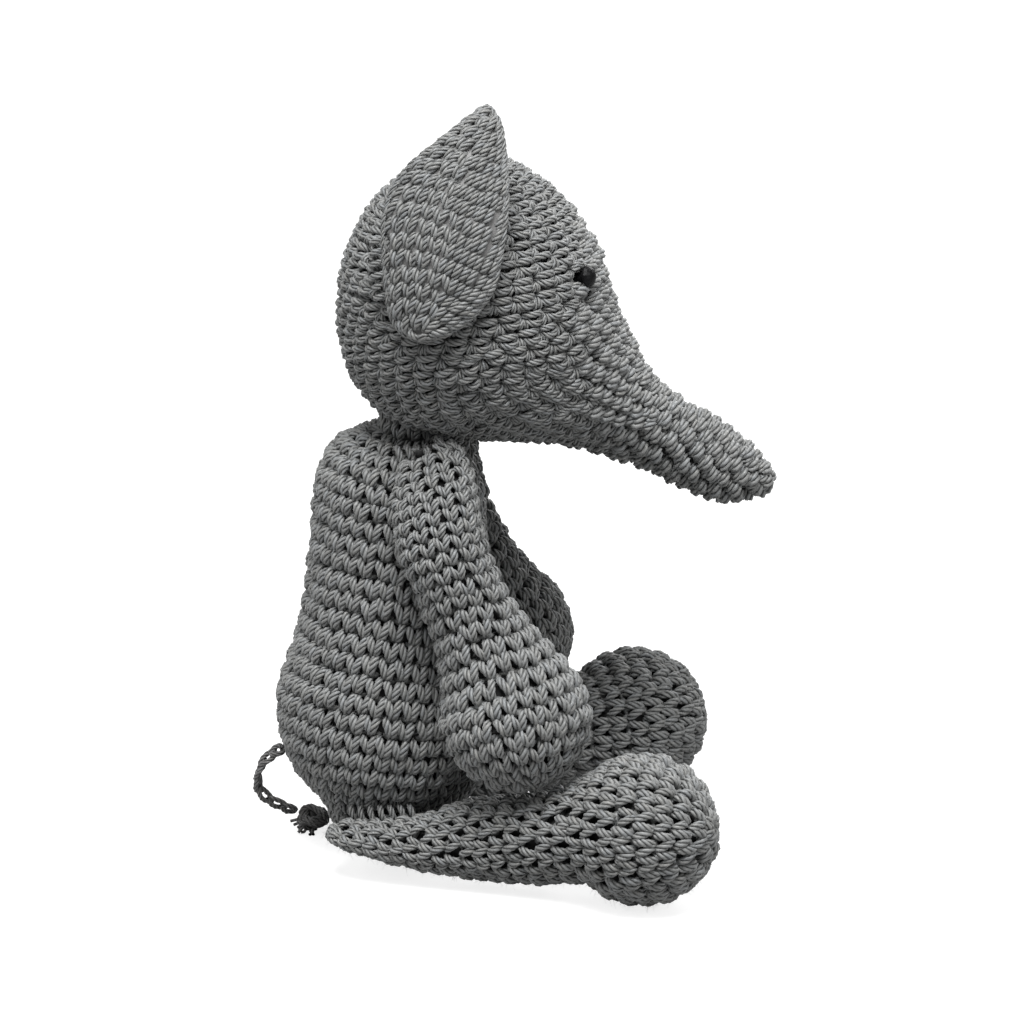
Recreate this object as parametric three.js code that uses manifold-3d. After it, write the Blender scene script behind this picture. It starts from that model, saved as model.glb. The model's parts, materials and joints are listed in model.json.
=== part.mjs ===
// Crocheted elephant, sitting. Millimetres, +Z up, faces -Y, its left side is +X.
// Each cover is an open shell of crocheted cotton around its own stuffing.
import * as THREE from 'three';
import { mergeVertices } from 'three/addons/utils/BufferGeometryUtils.js';
import Module from 'manifold-3d';

const wasm = await Module();
wasm.setup();

// Driving dimensions
const COVER = 2.0;                 // thickness of the crocheted fabric
const GAP = 0.4;                   // air between a cover and its stuffing
const BODY_Y = 40.6;               // the body's axis at the floor
const BODY_LEAN = -0.025;          // how far the body's axis leans forward, per mm of height
const SEAT_RADIUS = 14;
const BODY_TOP = 125.2;
const HAND_RADIUS = 22.4;
const FOOT_RADIUS = 22.6;
const EYE_RADIUS = 3.1;
const YARN_RADIUS = 0.8;           // sewing yarn at the seams
const TAIL_RADIUS = 1.9;
const EAR_THICKNESS = 2.0;         // half of the flap's thickness

const cotton = { color: 0x6f7072, roughness: 0.85, metalness: 0 };
const fibre = { color: 0xe8e6e0, roughness: 0.95, metalness: 0 };
const blackGloss = { color: 0x0b0b0c, roughness: 0.15, metalness: 0 };
const washerPlastic = { color: 0xd9d9d6, roughness: 0.5, metalness: 0 };

const elephant = new THREE.Group();

function add(name, geometry, finish) {
  const mesh = new THREE.Mesh(geometry, new THREE.MeshStandardMaterial(finish));
  mesh.name = name;
  elephant.add(mesh);
  return mesh;
}

// Geometry helpers

function welded(geometry) {
  const bare = geometry.clone();
  bare.deleteAttribute('normal');
  bare.deleteAttribute('uv');
  return mergeVertices(bare, 1e-4);
}

function toManifold(geometry) {
  const g = welded(geometry);
  const mesh = new wasm.Mesh({
    numProp: 3,
    vertProperties: new Float32Array(g.attributes.position.array),
    triVerts: new Uint32Array(g.index.array),
  });
  return new wasm.Manifold(mesh);
}

function fromManifold(solid) {
  const mesh = solid.getMesh();
  const g = new THREE.BufferGeometry();
  g.setAttribute('position', new THREE.BufferAttribute(new Float32Array(mesh.vertProperties), 3));
  g.setIndex(new THREE.BufferAttribute(new Uint32Array(mesh.triVerts), 1));
  g.computeVertexNormals();
  return g;
}

function cut(geometry, ...tools) {
  let solid = toManifold(geometry);
  for (const tool of tools) solid = solid.subtract(toManifold(tool));
  return fromManifold(solid);
}

// Moves every point inwards along its normal.
function shrink(geometry, distance) {
  const g = welded(geometry);
  g.computeVertexNormals();
  const p = g.attributes.position;
  const n = g.attributes.normal;
  for (let i = 0; i < p.count; i += 1) {
    p.setXYZ(i, p.getX(i) - distance * n.getX(i), p.getY(i) - distance * n.getY(i),
      p.getZ(i) - distance * n.getZ(i));
  }
  return g;
}

// A closed form from a sphere's grid: place(angle, along) gives each point,
// with along running from the first pole (0) to the second (1).
function form(around, along, place) {
  const g = new THREE.SphereGeometry(1, around, along);
  const p = g.attributes.position;
  const uv = g.attributes.uv;
  for (let i = 0; i < p.count; i += 1) {
    const along01 = 1 - uv.getY(i);
    const pole = along01 < 1e-6 || along01 > 1 - 1e-6;
    const angle = pole ? 0 : 2 * Math.PI * uv.getX(i);
    const v = place(angle, along01);
    p.setXYZ(i, v.x, v.y, v.z);
  }
  const g2 = welded(g);
  g2.computeVertexNormals();
  return outward(g2);
}

// Turns the triangles round if the form came out inside out.
function outward(geometry) {
  const p = geometry.attributes.position;
  const index = geometry.index;
  const [a, b, c] = [new THREE.Vector3(), new THREE.Vector3(), new THREE.Vector3()];
  let volume = 0;
  for (let i = 0; i < index.count; i += 3) {
    a.fromBufferAttribute(p, index.getX(i));
    b.fromBufferAttribute(p, index.getX(i + 1));
    c.fromBufferAttribute(p, index.getX(i + 2));
    volume += a.dot(b.cross(c));
  }
  if (volume < 0) {
    for (let i = 0; i < index.count; i += 3) {
      const keep = index.getX(i);
      index.setX(i, index.getX(i + 1));
      index.setX(i + 1, keep);
    }
    geometry.computeVertexNormals();
  }
  return geometry;
}

// A limb: sections of centre and two half-axes, joined by smooth curves.
function limb(sections, around, along) {
  const track = (key) => new THREE.CatmullRomCurve3(sections.map((s) => s[key]), false, 'centripetal');
  const centres = new THREE.CatmullRomCurve3(sections.map((s) => s.centre));
  const sides = track('side');
  const rises = track('rise');
  return form(around, along, (angle, t) => {
    const v = centres.getPoint(t);
    if (t > 1e-6 && t < 1 - 1e-6) {
      v.addScaledVector(sides.getPoint(t), Math.cos(angle));
      v.addScaledVector(rises.getPoint(t), Math.sin(angle));
    }
    return v;
  });
}

const vec = (x, y, z) => new THREE.Vector3(x, y, z);
const section = (centre, side, rise) => ({ centre, side, rise });

// Sections of a ball at a limb's end, from the latitude where the limb meets it to its pole.
function ballSections(centre, axis, side, rise, radius, widths, firstLatitude, count) {
  const out = [];
  for (let i = 0; i <= count; i += 1) {
    const latitude = firstLatitude + (Math.PI / 2 - firstLatitude) * (i / count);
    const c = centre.clone().addScaledVector(axis, radius * Math.sin(latitude));
    const r = Math.max(radius * Math.cos(latitude), 1e-4);
    out.push(section(c, side.clone().multiplyScalar(r * widths[0]),
      rise.clone().multiplyScalar(r * widths[1])));
  }
  return out;
}

// Sections of a sewn end and the limb after it, drawn in by an inset for what lies inside a cover.
function endedSections(rows, across, rise, inset) {
  const half = (value) => Math.max(value - inset, 0.001);
  const out = rows.map(([centre, wide, tall]) => section(centre.clone(),
    across.clone().multiplyScalar(half(wide)), rise.clone().multiplyScalar(half(tall))));
  const inwards = rows[1][0].clone().sub(rows[0][0]).normalize();
  out[0].centre.addScaledVector(inwards, inset);
  out[1].centre.addScaledVector(inwards, inset);
  return out;
}

function tube(points, radius, sides, steps) {
  const path = new THREE.CatmullRomCurve3(points);
  const ring = new THREE.Shape();
  for (let i = 0; i < sides; i += 1) {
    const a = (2 * Math.PI * i) / sides;
    const [x, y] = [radius * Math.cos(a), radius * Math.sin(a)];
    if (i === 0) ring.moveTo(x, y);
    else ring.lineTo(x, y);
  }
  ring.closePath();
  return new THREE.ExtrudeGeometry(ring, { steps, extrudePath: path, bevelEnabled: false });
}

// A cylinder along a direction, centred on a point.
function drill(centre, direction, radius, length) {
  const g = new THREE.CylinderGeometry(radius, radius, length, 12);
  const turn = new THREE.Quaternion().setFromUnitVectors(vec(0, 1, 0), direction.clone().normalize());
  g.applyQuaternion(turn);
  g.translate(centre.x, centre.y, centre.z);
  return g;
}

function turned(profile, segments) {
  const g = new THREE.LatheGeometry(profile.map(([r, h]) => new THREE.Vector2(r, h)), segments);
  g.rotateX(Math.PI / 2);
  return g;
}

function mirrored(geometry) {
  const g = welded(geometry);
  g.scale(-1, 1, 1);
  return outward(g);
}

// Body: a pear on a small flat seat, open at the neck

const bodyProfile = [
  [17.2, 5], [18.4, 9], [20, 13], [23, 17.5], [28.4, 24], [32.1, 33], [33.2, 43], [32.3, 54],
  [29.8, 63.5], [27.6, 77], [26.4, 92], [25.4, 107], [23.1, 116], [19.4, 121.5], [13, 124.9],
];

function bodyForm(segments, steps, inset = 0) {
  const wall = new THREE.SplineCurve(bodyProfile.map(([r, z]) => new THREE.Vector2(r, z)));
  const outline = [[0, inset], [SEAT_RADIUS - inset, inset], [15.8 - inset, inset + 1.8]];
  for (const p of wall.getPoints(steps)) outline.push([p.x - inset, Math.min(p.y, BODY_TOP - inset)]);
  outline.push([0, BODY_TOP + 0.4 - inset]);
  const g = turned(outline, segments);
  const p = g.attributes.position;
  for (let i = 0; i < p.count; i += 1) {
    p.setY(i, p.getY(i) + BODY_Y + BODY_LEAN * p.getZ(i));
  }
  return outward(welded(g));
}

const NECK = vec(0, 33, 126);
const neckOpening = drill(NECK, vec(0, 0, 1), 9, 12);
add('body_cover', cut(bodyForm(28, 18), bodyForm(28, 18, COVER), neckOpening), cotton);
add('body_stuffing', bodyForm(28, 18, COVER + GAP), fibre);

// Head and trunk: rings that are level at the crown and turn to face along the trunk.
// Each row is the ring's front point (y, z), its back point (y, z) and its half width.

const headRings = [
  [[19, 211.5], [19, 211.5], 0.001],
  [[8.1, 210.3], [29.9, 209.7], 10.8],
  [[-5.1, 203.6], [41.6, 201.6], 24.7],
  [[-15.3, 192.8], [50.3, 189.9], 34.3],
  [[-21.2, 181.5], [55.2, 175], 39],
  [[-25.5, 168.5], [55.4, 154.5], 39.5],
  [[-30.4, 157.4], [46.5, 136.6], 34.5],
  [[-33.3, 151.3], [28.5, 128.6], 28.5],
  [[-36.2, 146.2], [8.1, 127.4], 23],
  [[-40, 141.9], [-9.4, 125.6], 17.8],
  [[-44.4, 138.3], [-24, 121.6], 14],
  [[-50.2, 134.9], [-35.7, 117], 12],
  [[-57.2, 131.2], [-45, 111.8], 11.3],
  [[-63.6, 126], [-53, 108], 10.3],
  [[-69, 120.8], [-60.4, 107.2], 7.9],
  [[-72, 116.6], [-66.8, 108.6], 4.8],
  [[-72.6, 111.8], [-72.6, 111.8], 0.001],
];

function headForm(around, along) {
  const sections = headRings.map(([front, back, width]) => {
    const centre = vec(0, (front[0] + back[0]) / 2, (front[1] + back[1]) / 2);
    const rise = vec(0, (front[0] - back[0]) / 2, (front[1] - back[1]) / 2);
    return section(centre, vec(width, 0, 0), rise);
  });
  return limb(sections, around, along);
}

const headOuter = headForm(28, 28);

function surfacePoint(geometry, from, direction) {
  const mesh = new THREE.Mesh(geometry, new THREE.MeshBasicMaterial({ side: THREE.DoubleSide }));
  const hits = new THREE.Raycaster(from, direction.clone().normalize()).intersectObject(mesh);
  return hits[hits.length - 1].point;
}

// Eyes: a domed cap on a stem, held inside the head by a washer

const EYE_HEIGHT = 179.5;
const EYE_NORMAL = vec(0.473, -0.853, 0.219);
const eyeProfile = [
  [0, -5], [1.5, -5], [1.5, 0.5], [EYE_RADIUS, 0.5], [EYE_RADIUS, 1.1], [2.7, 1.9],
  [1.9, 2.5], [1, 2.85], [0, 3],
];
const washerProfile = [[1.9, -4], [4, -4], [4, -3.1], [1.9, -3.1], [1.9, -4]];
const headMiddle = vec(0, 16.8, 169.8);
const eyeTools = [];
const washerTools = [];

for (const [side, sign] of [['right', -1], ['left', 1]]) {
  const normal = vec(sign * EYE_NORMAL.x, EYE_NORMAL.y, EYE_NORMAL.z).normalize();
  const aim = vec(sign * 19.1, -16.6, EYE_HEIGHT).sub(headMiddle);
  const seat = surfacePoint(headOuter, headMiddle, aim);
  const turn = new THREE.Quaternion().setFromUnitVectors(vec(0, 0, 1), normal);
  const place = (geometry) => geometry.applyQuaternion(turn).translate(seat.x, seat.y, seat.z);
  add(`${side}_eye`, outward(welded(place(turned(eyeProfile, 16)))), blackGloss);
  add(`${side}_eye_washer`, outward(welded(place(turned(washerProfile, 12)))), washerPlastic);
  eyeTools.push(drill(seat, normal, 1.9, 12));
  washerTools.push(drill(seat.clone().addScaledVector(normal, -4.2), normal, 4.8, 5));
}

const headOpening = drill(vec(0, 30, 131), vec(0, 0.25, 1), 8, 12);
add('head_cover', cut(headOuter, shrink(headForm(18, 20), COVER), headOpening, ...eyeTools), cotton);
add('head_stuffing', cut(shrink(headForm(18, 20), COVER + GAP), ...washerTools), fibre);

// Neck seam: a ring of sewing yarn in the crease between body and head
const neckSeam = new THREE.TorusGeometry(11.5, 0.6, 6, 20);
neckSeam.rotateX(0.06);
neckSeam.translate(0, 31, 126.9);
add('neck_seam', neckSeam, cotton);

// Arms: a flattened top sewn to the shoulder, and a big round hand.
// Sections of the right arm: centre, half width to the front, half thickness.

const armSections = [
  [vec(-19.8, 29, 129.2), 0.001, 0.001],
  [vec(-22, 29, 127.8), 7.2, 3.4],
  [vec(-26, 28.5, 124), 11, 6],
  [vec(-32, 27.2, 117), 13.2, 9],
  [vec(-35.6, 25.6, 107), 13.2, 11],
  [vec(-36, 21.4, 94.5), 12.6, 11.6],
  [vec(-36, 15.6, 81), 13, 12],
  [vec(-37.6, 9.5, 68.5), 17, 14.6],
];

function armForm(around, along, hang, inset = 0) {
  const axis = vec(0, -0.38, -0.925).normalize();
  const front = vec(0, -0.925, 0.38).normalize();
  const sections = endedSections(armSections, front, vec(1, 0, 0), inset);
  sections.push(...ballSections(vec(-40.6, 3.6, 53.8), axis, front, vec(1, 0, 0),
    HAND_RADIUS - inset, [1, 0.86], -0.25, 5));
  const g = limb(sections, around, along);
  const shoulder = armSections[1][0];
  g.translate(-shoulder.x, -shoulder.y, -shoulder.z);
  g.rotateX(hang.back);
  g.rotateY(hang.out);
  g.translate(shoulder.x, shoulder.y, shoulder.z);
  return g;
}

// Legs: a thin flattened hip end under the body, and a ball for a foot.
// Sections of the right leg: centre, half width, half height.

const legSections = [
  [vec(-25.8, 59.4, 13.2), 0.001, 0.001],
  [vec(-26.2, 57.6, 13.1), 6.5, 2.7],
  [vec(-27.4, 53, 12.9), 9, 4],
  [vec(-30.6, 42, 12.2), 9.8, 5.6],
  [vec(-32.8, 31.5, 11.6), 10.5, 7.2],
  [vec(-35.6, 17, 12.9), 12, 10.2],
  [vec(-38, 6, 14.6), 13, 12.2],
  [vec(-43.4, -9.5, 17.8), 14.3, 14.3],
];

function legForm(around, along, inset = 0) {
  const axis = vec(-0.285, -0.958, 0).normalize();
  const across = vec(-0.958, 0.285, 0).normalize();
  const sections = endedSections(legSections, across, vec(0, 0, 1), inset);
  sections.push(...ballSections(vec(-51, -33, FOOT_RADIUS), axis, across, vec(0, 0, 1),
    FOOT_RADIUS - inset, [1, 1], -0.78, 7));
  return limb(sections, around, along);
}

// A short line of sewing yarn
const seamLine = (points) => tube(points, YARN_RADIUS, 6, 5);
// How each arm hangs, in radians: back from the lap, and out from the belly
const HANG = { right: { back: 0, out: 0 }, left: { back: 0.06, out: 0.055 } };

for (const side of ['right', 'left']) {
  const placed = side === 'right' ? (g) => g : mirrored;
  const hang = HANG[side];
  const armOpening = drill(vec(-19, 29, 126), vec(1, 0, 0), 4, 10);
  const legOpening = drill(vec(-25.8, 60, 13.2), vec(0, 1, 0), 1.2, 12);
  add(`${side}_arm_cover`, placed(cut(armForm(16, 18, hang), armForm(16, 18, hang, COVER),
    armOpening)), cotton);
  add(`${side}_arm_stuffing`, placed(armForm(16, 18, hang, COVER + GAP)), fibre);
  add(`${side}_arm_seam`, placed(seamLine([vec(-18.2, 20, 126.9), vec(-17.8, 29, 127.3),
    vec(-18.2, 38, 126.9)])), cotton);
  add(`${side}_leg_cover`, placed(cut(legForm(16, 18), legForm(16, 18, COVER), legOpening)), cotton);
  add(`${side}_leg_stuffing`, placed(legForm(16, 18, COVER + GAP)), fibre);
  add(`${side}_leg_seam`, placed(seamLine([vec(-26.4, 34, 19.9), vec(-26.6, 43, 19.5),
    vec(-22, 52, 18.4)])), cotton);
}

// Ears: thin leaf-shaped flaps that lie around the side of the head.
// Rows of the right ear: height, front edge, back edge.

const earRows = [
  [166.6, 30, 30.1], [168, 25.5, 35], [172, 18.5, 38.2], [180, 11.4, 39.6], [190, 8.6, 40.4],
  [199, 7.2, 40.2], [207, 6.8, 37.6], [214, 7, 32.4], [220, 7.6, 24.8], [225, 8.8, 18], [228.6, 11.5, 11.6],
];
const EAR_SHELL = vec(42.7, 40.5, 66);        // half-axes of the surface that the ear follows
const TIP_TAPER = 0.9;                        // how fast the limp tip narrows above its bend
const FLOP = { height: 188, radius: 7.4, angle: 2.9, x: -36 };

function earForm(around, along, flopped) {
  const rows = new THREE.CatmullRomCurve3(earRows.map(([z, front, back]) => vec(z, front, back)));
  return form(around, along, (angle, t) => {
    const row = rows.getPoint(t);
    const back = flopped ? Math.max(row.y + 0.1, Math.min(row.z, 40.4 - (row.x - 190) * TIP_TAPER)) : row.z;
    const y = (row.y + back) / 2 + ((back - row.y) / 2) * Math.cos(angle);
    const inside = 1 - ((y - headMiddle.y) / EAR_SHELL.y) ** 2 - ((row.x - headMiddle.z) / EAR_SHELL.z) ** 2;
    const reach = EAR_SHELL.x * Math.sqrt(Math.max(inside, 0.02)) + EAR_THICKNESS * Math.sin(angle)
      * Math.min(1, (back - row.y) / 6);
    const point = vec(-reach, y, row.x);
    return flopped ? flop(point) : point;
  });
}

// Bends what is above a line outwards, as a limp tip hangs over.
function flop(point) {
  const rise = point.z - FLOP.height;
  if (rise <= 0) return point;
  const turn = Math.min(rise / FLOP.radius, FLOP.angle);
  const rest = rise - turn * FLOP.radius;
  const inner = FLOP.radius + point.x - FLOP.x;
  const x = FLOP.x - FLOP.radius + inner * Math.cos(turn) - rest * Math.sin(turn);
  const z = FLOP.height + inner * Math.sin(turn) + rest * Math.cos(turn);
  return vec(x, point.y, z);
}

for (const side of ['right', 'left']) {
  const placed = side === 'right' ? (g) => g : mirrored;
  add(`${side}_ear`, placed(earForm(16, 16, side === 'left')), cotton);
  add(`${side}_ear_seam`, placed(seamLine([vec(-31.2, 42.3, 176), vec(-31, 43.4, 184),
    vec(-28.6, 43.4, 192)])), cotton);
}

// Tail: a chained cord that curls down to the floor, and its knot

const tailRoute = [
  vec(0, 73.4, 30.2), vec(0.3, 76.2, 28.6), vec(1, 79.4, 25), vec(2.4, 81, 20), vec(4.4, 80.2, 15.2),
  vec(6.6, 77, 11.4), vec(8.4, 73, 8.8), vec(9.4, 70.2, 7),
];
add('tail_cord', tube(tailRoute, TAIL_RADIUS, 8, 18), cotton);
const knot = new THREE.SphereGeometry(4.6, 12, 8);
knot.scale(0.9, 1.05, 1);
knot.translate(10.4, 64.6, 4.7);
add('tail_knot', knot, cotton);

export default elephant;
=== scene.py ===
# %% [markdown]
# # A crocheted elephant
# The toy is crocheted from grey cotton and filled with soft fibre. This lesson loads the measured
# frame of the toy first, and then crochets every part of it stitch by stitch as real yarn.

# %% Load the frame
import json
import math

import bpy
import numpy as np
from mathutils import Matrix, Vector
from mathutils.bvhtree import BVHTree

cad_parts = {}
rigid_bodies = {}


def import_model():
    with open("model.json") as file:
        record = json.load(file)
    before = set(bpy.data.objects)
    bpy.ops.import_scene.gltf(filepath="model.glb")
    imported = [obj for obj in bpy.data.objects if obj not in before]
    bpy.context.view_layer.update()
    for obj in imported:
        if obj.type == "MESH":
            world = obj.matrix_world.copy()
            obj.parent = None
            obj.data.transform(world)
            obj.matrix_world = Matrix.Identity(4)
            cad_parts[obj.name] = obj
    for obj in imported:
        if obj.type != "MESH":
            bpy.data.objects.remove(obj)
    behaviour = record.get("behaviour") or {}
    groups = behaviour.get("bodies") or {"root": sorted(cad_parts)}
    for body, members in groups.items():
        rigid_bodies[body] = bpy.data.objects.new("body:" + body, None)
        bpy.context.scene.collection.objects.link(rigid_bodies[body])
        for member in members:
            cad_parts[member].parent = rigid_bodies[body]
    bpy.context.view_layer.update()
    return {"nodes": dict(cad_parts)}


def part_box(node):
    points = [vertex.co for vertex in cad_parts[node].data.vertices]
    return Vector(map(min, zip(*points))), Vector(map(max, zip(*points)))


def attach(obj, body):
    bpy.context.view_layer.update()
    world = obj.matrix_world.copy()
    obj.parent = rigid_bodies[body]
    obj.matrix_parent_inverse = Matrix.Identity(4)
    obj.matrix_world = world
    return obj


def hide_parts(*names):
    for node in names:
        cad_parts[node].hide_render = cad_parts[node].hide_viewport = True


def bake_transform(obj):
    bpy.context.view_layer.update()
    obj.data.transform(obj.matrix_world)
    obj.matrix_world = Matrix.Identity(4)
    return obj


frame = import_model()
MM = 0.001
dice = np.random.default_rng(7)

# %% [markdown]
# ## Helpers
# A few short functions make meshes, materials and shader nodes, and tie a finished piece to the
# frame, so that the cells below only say what is special about each piece.

# %% Helpers
def unit(v):
    """Vectors of length one."""
    return v / np.maximum(np.linalg.norm(v, axis=-1, keepdims=True), 1e-12)


def path_length(path):
    """The length of a line of points."""
    return float(np.linalg.norm(np.diff(path, axis=0), axis=1).sum())


def evenly(values, count):
    """One value or several, spread out to count values in between."""
    values = np.atleast_1d(values)
    return np.interp(np.linspace(0, 1, count), np.linspace(0, 1, len(values)), values)


def mesh_object(name, vertices, faces):
    """A mesh from arrays: vertices (n, 3) in metres and faces (m, 3 or 4)."""
    vertices = np.ascontiguousarray(vertices, np.float32)
    faces = np.ascontiguousarray(faces, np.int32)
    corners = faces.shape[1]
    mesh = bpy.data.meshes.new(name)
    mesh.vertices.add(len(vertices))
    mesh.vertices.foreach_set("co", vertices.ravel())
    mesh.loops.add(faces.size)
    mesh.loops.foreach_set("vertex_index", faces.ravel())
    mesh.polygons.add(len(faces))
    mesh.polygons.foreach_set("loop_start", np.arange(0, faces.size, corners, dtype=np.int32))
    mesh.polygons.foreach_set("use_smooth", np.ones(len(faces), bool))
    mesh.update(calc_edges=True)
    made = bpy.data.objects.new(name, mesh)
    bpy.context.scene.collection.objects.link(made)
    return made


def settle(piece, body, stands_for=None, material=None):
    """Ties a piece to its body, gives it its material, and hides the frame's piece that it stands for."""
    if material:
        piece.data.materials.append(material)
    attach(piece, body)
    if stands_for:
        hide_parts(stands_for)


def new_material(name):
    """A material, with its node tree and its shader."""
    material = bpy.data.materials.new(name)
    material.use_nodes = True
    return material, material.node_tree, material.node_tree.nodes["Principled BSDF"]


def node(tree, kind, **settings):
    """Adds a node, sets what is named, and gives it back."""
    made = tree.nodes.new(kind)
    for key, value in settings.items():
        setattr(made, key, value)
    return made


def maths(tree, operation, a, b=None, clamp=False):
    """A Math node on two values, each a socket or a number."""
    made = node(tree, "ShaderNodeMath", operation=operation, use_clamp=clamp)
    for socket, value in zip(made.inputs, (a, b)):
        if isinstance(value, (int, float)):
            socket.default_value = value
        elif value is not None:
            tree.links.new(value, socket)
    return made.outputs[0]


def scaled(tree, value, factor, offset=1.0):
    """A value times a factor plus an offset."""
    return maths(tree, "ADD", maths(tree, "MULTIPLY", value, factor), offset)


print("helpers are ready")

# %% [markdown]
# ## Camera
# The toy is seen from its right side and a little from above, through a long lens that keeps its
# proportions calm. The camera is placed by a direction and a distance from a point in the belly.

# %% Camera
def direction(azimuth, elevation):
    """The way to a viewer: azimuth 0 looks at the toy's front, 270 at its right side."""
    a, e = math.radians(azimuth), math.radians(elevation)
    return Vector((math.sin(a) * math.cos(e), -math.cos(a) * math.cos(e), math.sin(e)))


def aim(thing, target):
    """Turns a camera or a lamp so that it looks at a point."""
    thing.rotation_euler = (Vector(target) - thing.location).to_track_quat("-Z", "Y").to_euler()


LOOK_AT = Vector((0, 0.00457, 0.1037))
DISTANCE, FOCAL_LENGTH, FILM_WIDTH = 1.5, 178.8, 36
lens = bpy.data.cameras.new("camera")
lens.lens = FOCAL_LENGTH
lens.sensor_width = FILM_WIDTH
camera = bpy.data.objects.new("camera", lens)
camera.location = LOOK_AT + DISTANCE * direction(270, 16)
bpy.context.scene.collection.objects.link(camera)
aim(camera, LOOK_AT)
bpy.context.scene.camera = camera
print("camera at", [round(x, 3) for x in camera.location])

# %% [markdown]
# ## Floor and light
# A plain pale floor that curves up into a wall has no horizon. One large soft lamp overhead, three
# weaker ones at the sides and a little light from all round give the light of a product studio. The
# paper glows for the lens only, so it is white in the picture and throws no light upwards.

# %% Floor
PAPER_GREY, PAPER_GLOW = 0.34, 0.82
FLOOR_FRONT, FLOOR_BACK, FLOOR_SIDE, WALL_TOP, BEND = -3.0, 1.6, 3.3, 3.2, 0.8
floor_line = ([(FLOOR_FRONT, 0.0)]
              + [(FLOOR_BACK + BEND * math.sin(a), BEND - BEND * math.cos(a))
                 for a in np.linspace(0, math.pi / 2, 13)]
              + [(FLOOR_BACK + BEND, WALL_TOP)])
floor_points = [(x, y, z) for x, z in floor_line for y in (-FLOOR_SIDE, 0, FLOOR_SIDE)]
floor_faces = [(i * 3 + j, i * 3 + j + 1, i * 3 + j + 4, i * 3 + j + 3)
               for i in range(len(floor_line) - 1) for j in range(2)]
floor = mesh_object("floor", floor_points, floor_faces)
paper, tree, shader = new_material("studio_paper")
shader.inputs["Base Color"].default_value = (PAPER_GREY, PAPER_GREY, PAPER_GREY, 1)
shader.inputs["Roughness"].default_value = 0.9
shader.inputs["Emission Color"].default_value = (1, 1, 1, 1)
ray = node(tree, "ShaderNodeLightPath")
glow = maths(tree, "MULTIPLY", ray.outputs["Is Camera Ray"], PAPER_GLOW)
tree.links.new(glow, shader.inputs["Emission Strength"])
floor.data.materials.append(paper)
print("floor:", len(floor_faces), "faces")

# %% Lamps
def soft_lamp(name, azimuth, elevation, distance, size, power):
    """A square area lamp that looks at the toy."""
    data = bpy.data.lights.new(name, "AREA")
    data.size = size
    data.energy = power
    lamp = bpy.data.objects.new(name, data)
    lamp.location = LOOK_AT + distance * direction(azimuth, elevation)
    bpy.context.scene.collection.objects.link(lamp)
    aim(lamp, LOOK_AT)


soft_lamp("lamp_over", 266, 67, 1.4, 0.7, 36)
soft_lamp("lamp_front", 325, 32, 1.6, 0.7, 8)
soft_lamp("lamp_back", 205, 37, 1.6, 0.7, 8)
soft_lamp("lamp_far", 62, 30, 1.6, 0.7, 13)
ROOM_LIGHT = 0.13                     # light from all round; the lens sees plain white instead
world = bpy.data.worlds.new("studio")
world.use_nodes = True
tree = world.node_tree
seen = node(tree, "ShaderNodeLightPath").outputs["Is Camera Ray"]
tree.nodes["Background"].inputs["Color"].default_value = (1, 1, 1, 1)
tree.links.new(scaled(tree, seen, 1 - ROOM_LIGHT, ROOM_LIGHT), tree.nodes["Background"].inputs["Strength"])
bpy.context.scene.world = world
bpy.context.scene.view_settings.view_transform = "Standard"
print("lamps:", len(bpy.data.lights))

# %% [markdown]
# ## Yarn
# The yarn is mercerised cotton: four thin plies twisted together, with a faint silky sheen and short
# fuzz. The plies are modelled. The pattern adds what is finer: each ply's own map knows the place
# round it, where 0 faces out of the yarn, so painted shade can darken it towards the grooves between
# plies, and it is streaked lengthwise with fibres.

# %% Yarn pattern
# The first sets how far painted shade darkens each ply towards the grooves between plies.
GROOVE_SHADE, TONE_SPREAD, RELIEF = 0.7, 0.5, 0.5


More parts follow.
